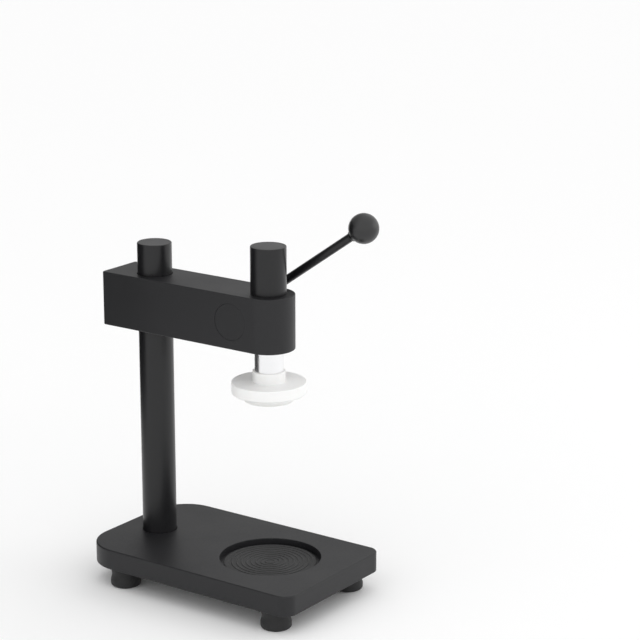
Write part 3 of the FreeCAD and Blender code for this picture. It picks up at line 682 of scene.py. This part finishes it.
class HeadShape(Enum):
    """The kinds of socket screw in the press."""

    CAP = "cap"                 # a round head that stands on its washer
    SUNK = "sunk"               # a cone, flush with the face
    GRUB = "grub"               # no head at all


@dataclass
class SocketScrew:
    """A screw with a hexagon socket, in millimetres, with its head's face at the origin.

    Attributes:
        shape: The kind of head.
        thread: Radius of the plain shank.
        head: Radius of the head.
        head_height: Height of the head.
        length: Length under the head.
        across_flats: Width of the socket.
        socket_depth: Depth of the socket.
    """

    shape: HeadShape
    thread: float
    head: float
    head_height: float
    length: float
    across_flats: float
    socket_depth: float

    def build(self, name: str) -> Piece:
        """Make the screw, with its shank along Z and its socket open at the origin.

        Args:
            name: The piece's name.

        Returns:
            The screw.
        """
        tip = self.head_height + self.length
        heads = {
            HeadShape.CAP: [Corner(self.head, 0, 0.7), Corner(self.head, self.head_height, 0.2),
                            Corner(self.thread, self.head_height)],
            HeadShape.SUNK: [Corner(self.head, 0), Corner(self.head, 0.25),
                             Corner(self.thread, self.head_height)],
            HeadShape.GRUB: [Corner(self.thread - 0.6, 0), Corner(self.thread, 0.6)],
        }
        points = outline([Corner(0, 0), *heads[self.shape],
                          Corner(self.thread, tip, 0.6), Corner(0, tip)])
        piece = turned(name, points, UNMOVED, segments=48)
        return cut(piece, hexagon(self.across_flats, self.socket_depth))


def hexagon(across_flats: float, depth: float) -> Piece:
    """Make the six-sided tool that cuts a socket upwards from the origin.

    Args:
        across_flats: The socket's width, in millimetres.
        depth: The socket's depth, in millimetres.

    Returns:
        The tool.
    """
    radius = across_flats / math.sqrt(3) * MM
    shape = bmesh.new()
    bmesh.ops.create_cone(shape, cap_ends=True, segments=6, radius1=radius, radius2=radius,
                          depth=2 * depth * MM)
    return from_shape("socket_tool", shape)


def cut(piece: Piece, tool: Piece) -> Piece:
    """Cut a tool out of a piece, and remove the tool.

    Args:
        piece: The piece to cut.
        tool: The shape to take out of it.

    Returns:
        The same piece, shaded again.
    """
    boolean = piece.modifiers.new("cut", "BOOLEAN")
    boolean.object = tool
    boolean.operation = "DIFFERENCE"
    boolean.solver = "EXACT"
    plain_mesh(piece)
    bpy.data.objects.remove(tool)
    return smooth(piece)


# ---- the press

@dataclass
class Assembly:
    """Pieces that one moving body carries.

    Attributes:
        body: The body's name.
    """

    body: str

    def dress(self, piece: Piece, finish: Finish, *nodes: str) -> None:
        """Give a piece its finish, its body and the CAD nodes it stands for.

        Args:
            piece: The finished mesh.
            finish: Its surface.
            nodes: CAD nodes that it replaces.
        """
        piece.data.materials.clear()
        piece.data.materials.append(finish.material())
        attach(piece, self.body)
        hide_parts(*nodes)
        log.info("%s rides on %s in %s", piece.name, self.body, finish.name)

    def dress_copies(self, finish: Finish, ending: str, *nodes: str) -> None:
        """Dress a copy of each CAD node whose shape is already right.

        Args:
            finish: The copies' surface.
            ending: What their names add to the nodes' names.
            nodes: The nodes.
        """
        for node in nodes:
            self.dress(refined(node + ending, node), finish, node)


@dataclass
class Stand(Assembly):
    """The base plate, its feet, the mat in the jar seat, and the post."""

    body: str = "stand"
    foot_top: float = 15.0
    foot_neck: float = 13.7
    foot_neck_level: float = 0.58       # share of the foot's height
    foot_neck_round: float = 14.0
    foot_sole: float = 15.4
    foot_sole_level: float = 6.4
    foot_lip: float = 0.7
    foot_socket: float = 6.8
    foot_socket_depth: float = 8.0
    screw_hole: float = 3.2
    screw_shank: float = 2.95
    screw_head: float = 5.0
    screw_socket: float = 4.8
    screw_socket_depth: float = 2.2
    washer: float = 6.2
    mat_edge: float = 0.5
    rib_inset: float = 5.0
    rib_pitch: float = 4.8
    rib_width: float = 1.8
    rib_height: float = 0.45

    def feet(self) -> list[str]:
        """The four feet's node names."""
        return ["foot_front_left", "foot_front_right", "foot_rear_left", "foot_rear_right"]

    def foot_seats(self, height: float) -> list[Vector]:
        """Find where the feet stand.

        Args:
            height: How far above their soles, in metres.

        Returns:
            One point for each foot.
        """
        seats = []
        for node in self.feet():
            middle, low = centre_of(node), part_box(node)[0]
            seats.append(Vector((middle.x, middle.y, low.z + height)))
        return seats

    def build(self) -> None:
        """Make and dress the stand."""
        self.dress_copies(POWDER_COAT, "_coated", "base_plate")
        bar = true_round(refined("post_bar", "post"), centre_of("post"), radius_of("post") * MM)
        self.dress(bar, COATED_BAR, "post")
        self.dress_copies(BLACK_OXIDE, "_black", "post_bolt")
        self.dress_copies(ZINC, "_zinc", "post_washer")
        self._build_feet()
        self._build_foot_fasteners()
        self._build_mat()

    def _build_feet(self) -> None:
        """Mould one waisted foot and seat four of them."""
        tall = height_of("foot_front_left")
        points = outline([
            Corner(self.screw_hole, tall), Corner(self.foot_top, tall, 0.6),
            Corner(self.foot_top - 0.2, tall - 3.0, 3.0),
            Corner(self.foot_neck, tall * self.foot_neck_level, self.foot_neck_round),
            Corner(self.foot_sole, self.foot_sole_level, 5.0), Corner(self.foot_sole, 0, 2.9),
            Corner(self.foot_socket + 2.5, 0, 0.3),
            Corner(self.foot_socket + 1.7, self.foot_lip, 0.3),
            Corner(self.foot_socket, self.foot_lip, 0.4),
            Corner(self.foot_socket, self.foot_socket_depth, 0.3),
            Corner(self.screw_hole, self.foot_socket_depth)], closed=True)
        template = turned("foot_mould", points, UNMOVED, closed=True, segments=96)
        feet = seated_copies("rubber_feet", template, self.foot_seats(0.0), Z_AXIS, RUBBER,
                             spread=3.0, seed=4)
        self.dress(feet, RUBBER, *self.feet())

    def _build_foot_fasteners(self) -> None:
        """The screw and washer up inside each foot."""
        washer_low, washer_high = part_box("foot_washers")
        screw_low, screw_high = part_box("foot_screws")
        head = (washer_low.z - screw_low.z) / MM
        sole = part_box("foot_front_left")[0].z
        screw = SocketScrew(HeadShape.CAP, self.screw_shank, self.screw_head, head,
                            (screw_high.z - washer_low.z) / MM, self.screw_socket,
                            self.screw_socket_depth)
        screws = seated_copies("foot_screws_black", screw.build("foot_screw_model"),
                               self.foot_seats(screw_low.z - sole), Z_AXIS, BLACK_OXIDE,
                               spread=6.0, seed=11)
        self.dress(screws, BLACK_OXIDE, "foot_screws")
        thick = (washer_high.z - washer_low.z) / MM
        ring = turned("foot_washer_model", outline([
            Corner(self.screw_hole, 0, 0.15), Corner(self.washer, 0, 0.25),
            Corner(self.washer, thick, 0.25), Corner(self.screw_hole, thick, 0.15)],
            closed=True, steps=3), UNMOVED, closed=True, segments=64)
        washers = seated_copies("foot_washers_zinc", ring, self.foot_seats(washer_low.z - sole),
                                Z_AXIS, ZINC, spread=0.0, seed=0)
        self.dress(washers, ZINC, "foot_washers")

    def _build_mat(self) -> None:
        """The seat's mat: a plain disc with low concentric ribs."""
        radius, thick = radius_of("seat_mat"), height_of("seat_mat")
        body_top = thick - self.rib_height
        rim_width = self.rib_inset - 1.0
        points = outline([
            Corner(0, 0), Corner(radius, 0, 0.2), Corner(radius, thick, self.mat_edge),
            Corner(radius - rim_width, thick, 0.2), Corner(radius - rim_width - 0.3, body_top, 0.1),
            Corner(0, body_top)], steps=4)
        disc = turned("seat_mat_disc", points, on_ram_axis("seat_mat"))
        self.dress(disc, RUBBER, "seat_mat")
        count = int((radius - self.rib_inset - self.rib_pitch) / self.rib_pitch) + 1
        ribs = self._ribs(count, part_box("seat_mat")[0].z + body_top * MM)
        self.dress(ribs, RUBBER, "seat_mat")

    def _ribs(self, count: int, level: float) -> Piece:
        """Lay the mat's concentric ribs, the first one pitch from the middle.

        Args:
            count: How many there are.
            level: The height that they stand on, in metres.

        Returns:
            The ribs, as one piece.
        """
        tree = Tree("concentric_ribs", {
            "Count": "Int", "Pitch": "Float", "Rib Width": "Float", "Rib Height": "Float",
            "Level": "Float"})
        place = tree.add("ShaderNodeCombineXYZ", {"Z": tree.given["Level"]})
        points = tree.add("GeometryNodePoints", {"Count": tree.given["Count"], "Position": place})
        number = tree.add("GeometryNodeInputIndex")
        radius = tree.add("ShaderNodeMath", {
            0: number, 1: tree.given["Pitch"], 2: tree.given["Pitch"]},
            operation="MULTIPLY_ADD")
        scale = tree.add("ShaderNodeCombineXYZ", {"X": radius, "Y": radius, "Z": 1.0})
        circle = tree.add("GeometryNodeCurvePrimitiveCircle", {"Resolution": 96, "Radius": 1.0})
        rings = tree.add("GeometryNodeInstanceOnPoints", {
            "Points": points, "Instance": circle, "Scale": scale})
        real = tree.add("GeometryNodeRealizeInstances", {"Geometry": rings})
        section = tree.add("GeometryNodeCurvePrimitiveCircle", {"Resolution": 10, "Radius": 0.5})
        size = tree.add("ShaderNodeCombineXYZ", {
            "X": tree.given["Rib Width"], "Y": tree.given["Rib Height"], "Z": 1.0})
        shaped = tree.add("GeometryNodeTransform", {"Geometry": section, "Scale": size})
        swept = tree.add("GeometryNodeCurveToMesh", {"Curve": real, "Profile Curve": shaped})
        tree.end(swept)
        piece = new_object("seat_mat_ribs", bpy.data.meshes.new("seat_mat_ribs"))
        return tree.run(piece, RUBBER, {
            "Count": count, "Pitch": self.rib_pitch * MM, "Rib Width": self.rib_width * MM,
            "Rib Height": 2 * self.rib_height * MM, "Level": level})


@dataclass
class HeadAssembly(Assembly):
    """The arm on the post, the sleeve over the ram, and what the arm holds."""

    body: str = "head"
    sleeve_edge: float = 0.8
    sleeve_wall: float = 2.5
    spigot_step: float = 0.35           # how much thinner the sleeve is inside the arm
    cap_edge: float = 0.3
    spring_turns: float = 5.0
    spring_strip: float = 0.5
    spring_gap: float = 1.0             # between the shaft and the first turn
    carrier_thread: float = 1.45
    carrier_head: float = 1.6
    carrier_socket: float = 2.0
    carrier_socket_depth: float = 1.2
    grub_socket: float = 4.0
    grub_socket_depth: float = 3.6

    def build(self) -> None:
        """Make and dress the arm and its pieces."""
        self.dress_copies(POWDER_COAT, "_coated", "pinion_cover")
        self.dress_copies(COATED_BAR, "_coated", "bearing_carrier")
        self.dress_copies(GEAR_STEEL, "_steel", "left_bearing_plate", "spring_anchor_pin")
        self.dress_copies(BLACK_OXIDE, "_black", "ram_guide_screw")
        self.dress_copies(BRONZE, "_bronze", "shaft_bush_left", "shaft_bush_right",
                          "ram_bush_lower", "ram_bush_upper")
        arm = true_round(refined("arm_coated", "head_arm"), ORIGIN, radius_of("head_arm") * MM)
        self.dress(arm, POWDER_COAT, "head_arm")
        self._build_carrier_screws()
        self._build_set_screws()
        self._build_sleeve()
        self._build_spring()

    def _build_carrier_screws(self) -> None:
        """The three sunk screws that hold the bearing carrier, flush with its face."""
        boxes = shells("carrier_screws")
        low, high = boxes[0]
        screw = SocketScrew(HeadShape.SUNK, self.carrier_thread, (high.z - low.z) / 2 / MM,
                            self.carrier_head, (high.x - low.x) / MM - self.carrier_head,
                            self.carrier_socket, self.carrier_socket_depth)
        seats = [Vector((top.x, (foot.y + top.y) / 2, (foot.z + top.z) / 2)) for foot, top in boxes]
        screws = seated_copies("carrier_screws_black", screw.build("carrier_screw_model"), seats,
                               -X_AXIS, BLACK_OXIDE, spread=25.0, seed=7)
        self.dress(screws, BLACK_OXIDE, "carrier_screws")

    def _build_set_screws(self) -> None:
        """The two grub screws in the arm's rear face that lock it on the post's flat."""
        boxes = shells("arm_set_screws")
        low, high = boxes[0]
        radius = (high.x - low.x) / 2 / MM
        screw = SocketScrew(HeadShape.GRUB, radius, radius, 0.0, (high.y - low.y) / MM,
                            self.grub_socket, self.grub_socket_depth)
        seats = [Vector(((foot.x + top.x) / 2, top.y, (foot.z + top.z) / 2)) for foot, top in boxes]
        screws = seated_copies("arm_set_screws_black", screw.build("arm_set_screw_model"), seats,
                               -Y_AXIS, BLACK_OXIDE, spread=25.0, seed=9)
        self.dress(screws, BLACK_OXIDE, "arm_set_screws")

    def _build_sleeve(self) -> None:
        """The dust sleeve that the ram rises into, and the plug that closes it."""
        outer, tall = radius_of("ram_sleeve"), height_of("ram_sleeve")
        inner, spigot = outer - self.sleeve_wall, outer - self.spigot_step
        sunk = (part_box("head_arm")[1].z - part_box("ram_sleeve")[0].z) / MM
        shell = turned("ram_sleeve_tube", outline([
            Corner(inner, 0, 0.2), Corner(spigot, 0, 0.2), Corner(spigot, sunk),
            Corner(outer, sunk, 0.3), Corner(outer, tall, self.sleeve_edge),
            Corner(inner, tall, 0.25)], closed=True), on_ram_axis("ram_sleeve"), closed=True)
        self.dress(shell, COATED_BAR, "ram_sleeve")
        radius, thick = radius_of("sleeve_cap"), height_of("sleeve_cap")
        cap = turned("sleeve_cap_plug", outline([
            Corner(0, 0), Corner(radius, 0, 0.3), Corner(radius, thick, self.cap_edge),
            Corner(0, thick)]), on_ram_axis("sleeve_cap"))
        self.dress(cap, COATED_BAR, "sleeve_cap")

    def _build_spring(self) -> None:
        """The flat spiral spring behind the left cover."""
        low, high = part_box("return_spring")
        inner = (height_of("pinion_shaft") / 2 + self.spring_gap) * MM
        outer = (high.z - low.z) / 2 - self.spring_strip * MM
        tree = Tree("spiral_strip", {
            "Turns": "Float", "Inner Radius": "Float", "Outer Radius": "Float",
            "Strip Thickness": "Float", "Strip Width": "Float", "Centre": "Vector"})
        spiral = tree.add("GeometryNodeCurveSpiral", {
            "Resolution": 48, "Rotations": tree.given["Turns"],
            "Start Radius": tree.given["Inner Radius"], "End Radius": tree.given["Outer Radius"],
            "Height": 0.0})
        upright = tree.add("GeometryNodeSetCurveNormal", {"Curve": spiral}, mode="Z_UP")
        section = tree.add("GeometryNodeCurvePrimitiveQuadrilateral", {
            "Width": tree.given["Strip Width"], "Height": tree.given["Strip Thickness"]})
        strip = tree.add("GeometryNodeCurveToMesh", {
            "Curve": upright, "Profile Curve": section, "Fill Caps": True})
        laid = tree.add("GeometryNodeTransform", {
            "Geometry": strip, "Translation": tree.given["Centre"],
            "Rotation": (0.0, math.pi / 2, 0.0)})
        tree.end(laid)
        piece = new_object("return_spring_strip", bpy.data.meshes.new("return_spring_strip"))
        middle = centre_of("pinion_shaft")
        tree.run(piece, SPRING_STRIP, {
            "Turns": self.spring_turns, "Inner Radius": inner, "Outer Radius": outer,
            "Strip Thickness": self.spring_strip * MM, "Strip Width": high.x - low.x,
            "Centre": Vector(((low.x + high.x) / 2, middle.y, middle.z))})
        self.dress(piece, SPRING_STRIP, "return_spring")


@dataclass
class RamAssembly(Assembly):
    """The ground ram with the white pressing head and its pad."""

    body: str = "ram"
    flange_side: float = 12.2
    flange_foot: float = 27.9
    flange_round: float = 2.5
    hub_radius: float = 16.3
    hub_height: float = 11.3            # above the flange
    bore: float = 8.0
    web: float = 3.5
    spigot: float = 13.4
    pocket: float = 8.5
    pad_sunk: float = 1.0
    pad_play: float = 0.1
    screw_hole: float = 4.2

    def build(self) -> None:
        """Make and dress the ram and head."""
        bar = true_round(refined("ram_bar", "ram"), ORIGIN, radius_of("ram") * MM)
        self.dress(bar, GROUND_STEEL, "ram")
        self.dress_copies(BLACK_OXIDE, "_black", "head_screw")
        self.dress_copies(ZINC, "_zinc", "head_washer")
        self._build_head()
        self._build_pad()

    def _build_head(self) -> None:
        """Turn the nylon head: hub, flange and the step under it."""
        flange, tall = radius_of("pressing_head"), height_of("pressing_head")
        top = tall - self.hub_height
        under = top - self.flange_side
        web_top = tall - self.spigot
        web_foot = web_top - self.web
        pad = radius_of("pressing_pad") + self.pad_play
        points = outline([
            Corner(self.bore, tall, 0.3), Corner(self.hub_radius, tall, 0.9),
            Corner(self.hub_radius, top, 0.9), Corner(flange, top, 1.1),
            Corner(flange, under, self.flange_round), Corner(self.flange_foot, under, 0.6),
            Corner(self.flange_foot, 0, 0.5), Corner(pad, 0, 0.2), Corner(pad, self.pad_sunk, 0.1),
            Corner(self.pocket, self.pad_sunk, 0.2), Corner(self.pocket, web_foot, 0.3),
            Corner(self.screw_hole, web_foot, 0.2), Corner(self.screw_hole, web_top, 0.2),
            Corner(self.bore, web_top, 0.2)], closed=True, steps=8)
        head = turned("pressing_head_nylon", points, on_ram_axis("pressing_head"), closed=True,
                      segments=160)
        self.dress(head, NYLON, "pressing_head")

    def _build_pad(self) -> None:
        """The soft face that meets the lid."""
        radius, tall = radius_of("pressing_pad"), height_of("pressing_pad")
        pad = turned("pressing_pad_soft", outline([
            Corner(0, 0), Corner(radius, 0, 0.8), Corner(radius, tall, 0.2), Corner(0, tall)]),
            on_ram_axis("pressing_pad"))
        self.dress(pad, SILICONE, "pressing_pad")


@dataclass
class LeverAssembly(Assembly):
    """The pinion on its shaft, the hub, the rod and the ball."""

    body: str = "lever"
    ball: float = 14.9
    rod: float = 4.25
    rod_angle: float = 34.9             # degrees above the floor
    rod_play: float = 0.02
    rod_in_ball: float = 5.0
    neck: float = 5.6
    collar: float = 6.9
    collar_length: float = 2.6
    collar_round: float = 1.5           # degrees of the ball that the round takes
    mouth: float = 0.6                  # how far the neck's mouth is set back

    def build(self) -> None:
        """Make and dress the lever and what turns with it."""
        self.dress_copies(GEAR_STEEL, "_gear", "pinion")
        self.dress_copies(GEAR_STEEL, "_steel", "pinion_shaft", "pinion_key", "hub_key")
        self.dress_copies(SPRING_STRIP, "_blued", "shaft_clip")
        self.dress_copies(BRONZE, "_bronze", "thrust_washers")
        self.dress_copies(COATED_BAR, "_coated", "lever_hub")
        self.dress_copies(BLACK_OXIDE, "_black", "rod_set_screw")
        self.dress_copies(ZINC, "_zinc", "hub_washer")
        self.dress_copies(BLACK_OXIDE, "_black", "hub_screw")
        self.dress_copies(COATED_BAR, "_coated", "lever_rod")
        self._build_ball()

    def _build_ball(self) -> None:
        """Mould the ball with its short neck towards the rod."""
        lean = math.radians(self.rod_angle)
        along = Vector((0, -math.cos(lean), math.sin(lean)))
        low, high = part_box("ball_knob")
        reach = self.ball * MM
        centre = Vector((low.x + reach, low.y + reach, high.z - reach))
        collar_angle = math.degrees(math.asin(self.collar / self.ball)) - 90
        start = self.ball * math.sin(math.radians(collar_angle))
        foot = -(self.ball + self.collar_length - self.mouth)
        bore = self.rod + self.rod_play
        points = [(bore, self.rod_in_ball), (bore, foot + 0.3), (self.rod + 0.35, foot),
                  (self.neck - 0.4, foot), (self.neck, foot + 0.4), (self.collar, start)]
        points += arc((0, 0), self.ball, collar_angle + self.collar_round, 89.0, 60)
        points += [(0.0, self.ball), (0.0, self.rod_in_ball)]
        ball = turned("ball_knob_moulded", points, axis_frame(centre, along))
        self.dress(ball, PHENOLIC, "ball_knob")


# ---- studio

@dataclass(frozen=True)
class Softbox:
    """One large soft lamp: where it hangs, its side in metres and its power in watts."""

    name: str
    place: tuple[float, float, float]
    side: float
    watts: float

    def hang(self, target: Vector) -> None:
        """Hang the lamp.

        Args:
            target: The point it is turned to.
        """
        lamp = bpy.data.lights.new(self.name, "AREA")
        lamp.shape = "SQUARE"
        lamp.size = self.side
        lamp.energy = self.watts
        holder = new_object(self.name, lamp)
        holder.location = self.place
        holder.rotation_euler = (target - Vector(self.place)).to_track_quat("-Z", "Y").to_euler()


@dataclass
class Studio:
    """A pale floor, a pale sky, a soft lamp, a black flag and the camera.

    Distances are metres and angles degrees; the lens and its sensor are millimetres.
    """

    floor_side: float = 60.0
    floor_gap: float = 0.00005
    sky_strength: float = 1.16
    sky_dim: float = 0.5
    dim_way: tuple[float, float, float] = (0.1, 0.99, 0.0)
    dim_from: float = 0.1               # cosine of the angle from dim_way where dimming starts
    dim_to: float = 0.8                 # and where it is complete
    key: Softbox = Softbox("front_right_box", (1.1, -1.25, 0.75), 0.9, 1.5)
    key_target: tuple[float, float, float] = (0.0, 0.05, 0.15)
    flag_turn: float = 13.0
    flag_distance: float = 0.55
    flag_width: float = 0.75
    flag_height: float = 0.6
    flag_foot: float = -0.03
    flag_middle: tuple[float, float, float] = (0.0, 0.05, 0.0)
    camera_place: tuple[float, float, float] = (-1.68386, -1.25629, 0.82498)
    azimuth: float = -54.64
    elevation: float = 15.28
    lens: float = 125.5
    sensor: float = 36.0
    sight: float = 100.0                # how far the camera sees

    def build(self) -> None:
        """Set the scene round the press."""
        self._lay_floor()
        self._light()
        self._place_camera()

    def _lay_floor(self) -> None:
        """A plain floor under the feet."""
        half = self.floor_side / 2
        level = CAD_BOX[0][2] - self.floor_gap
        mesh = bpy.data.meshes.new("studio_floor")
        mesh.from_pydata([(-half, -half, level), (half, -half, level), (half, half, level),
                          (-half, half, level)], [], [(0, 1, 2, 3)])
        floor = new_object("studio_floor", mesh)
        floor.data.materials.append(SWEEP.material())

    def _light(self) -> None:
        """An even pale sky, dimmer towards the back, and a soft lamp from the front right."""
        sky = bpy.data.worlds.new("studio_sky")
        bpy.context.scene.world = sky
        sky.use_nodes = True
        tree = sky.node_tree
        tree.nodes.clear()
        way = add_node(tree, "ShaderNodeTexCoord")
        facing = add_node(tree, "ShaderNodeVectorMath", {
            0: way.outputs["Generated"], 1: self.dim_way}, operation="DOT_PRODUCT")
        level = add_node(tree, "ShaderNodeMapRange", {
            "Value": facing.outputs["Value"], "From Min": self.dim_from, "From Max": self.dim_to,
            "To Min": self.sky_strength, "To Max": self.sky_dim},
            interpolation_type="SMOOTHSTEP")
        glow = add_node(tree, "ShaderNodeBackground", {
            "Color": linear("#ffffff"), "Strength": level})
        add_node(tree, "ShaderNodeOutputWorld", {"Surface": glow})
        self.key.hang(Vector(self.key_target))
        self._stand_flag()

    def _stand_flag(self) -> None:
        """A black card behind the press that only reflections see, to draw the left edges."""
        turn = math.radians(self.flag_turn)
        out = Vector((-math.sin(turn), math.cos(turn), 0))
        side = Vector((math.cos(turn), math.sin(turn), 0)) * (self.flag_width / 2)
        middle = Vector(self.flag_middle) + out * self.flag_distance
        foot, top = Z_AXIS * self.flag_foot, Z_AXIS * self.flag_height
        corners = [middle - side + foot, middle + side + foot,
                   middle + side + top, middle - side + top]
        mesh = bpy.data.meshes.new("black_flag")
        mesh.from_pydata(corners, [], [(0, 1, 2, 3)])
        flag = new_object("black_flag", mesh)
        flag.data.materials.append(FLAG_CLOTH.material())
        flag.visible_camera = flag.visible_diffuse = flag.visible_shadow = False

    def _place_camera(self) -> None:
        """A long lens from the front left, a little above the press."""
        turn, rise = math.radians(self.azimuth), math.radians(self.elevation)
        look = Vector((-math.sin(turn) * math.cos(rise), math.cos(turn) * math.cos(rise),
                       -math.sin(rise)))
        lens = bpy.data.cameras.new("studio_camera")
        lens.lens = self.lens
        lens.sensor_width = self.sensor
        lens.clip_end = self.sight
        camera = new_object("studio_camera", lens)
        camera.location = self.camera_place
        camera.rotation_euler = look.to_track_quat("-Z", "Y").to_euler()
        bpy.context.scene.camera = camera
        bpy.context.scene.view_settings.view_transform = "Standard"


def main() -> None:
    """Build the press and the studio in order."""
    logging.basicConfig(level=logging.INFO, format="%(name)s: %(message)s")
    for assembly in (Stand(), HeadAssembly(), RamAssembly(), LeverAssembly()):
        assembly.build()
    Studio().build()


if __name__ == "__main__":
    main()
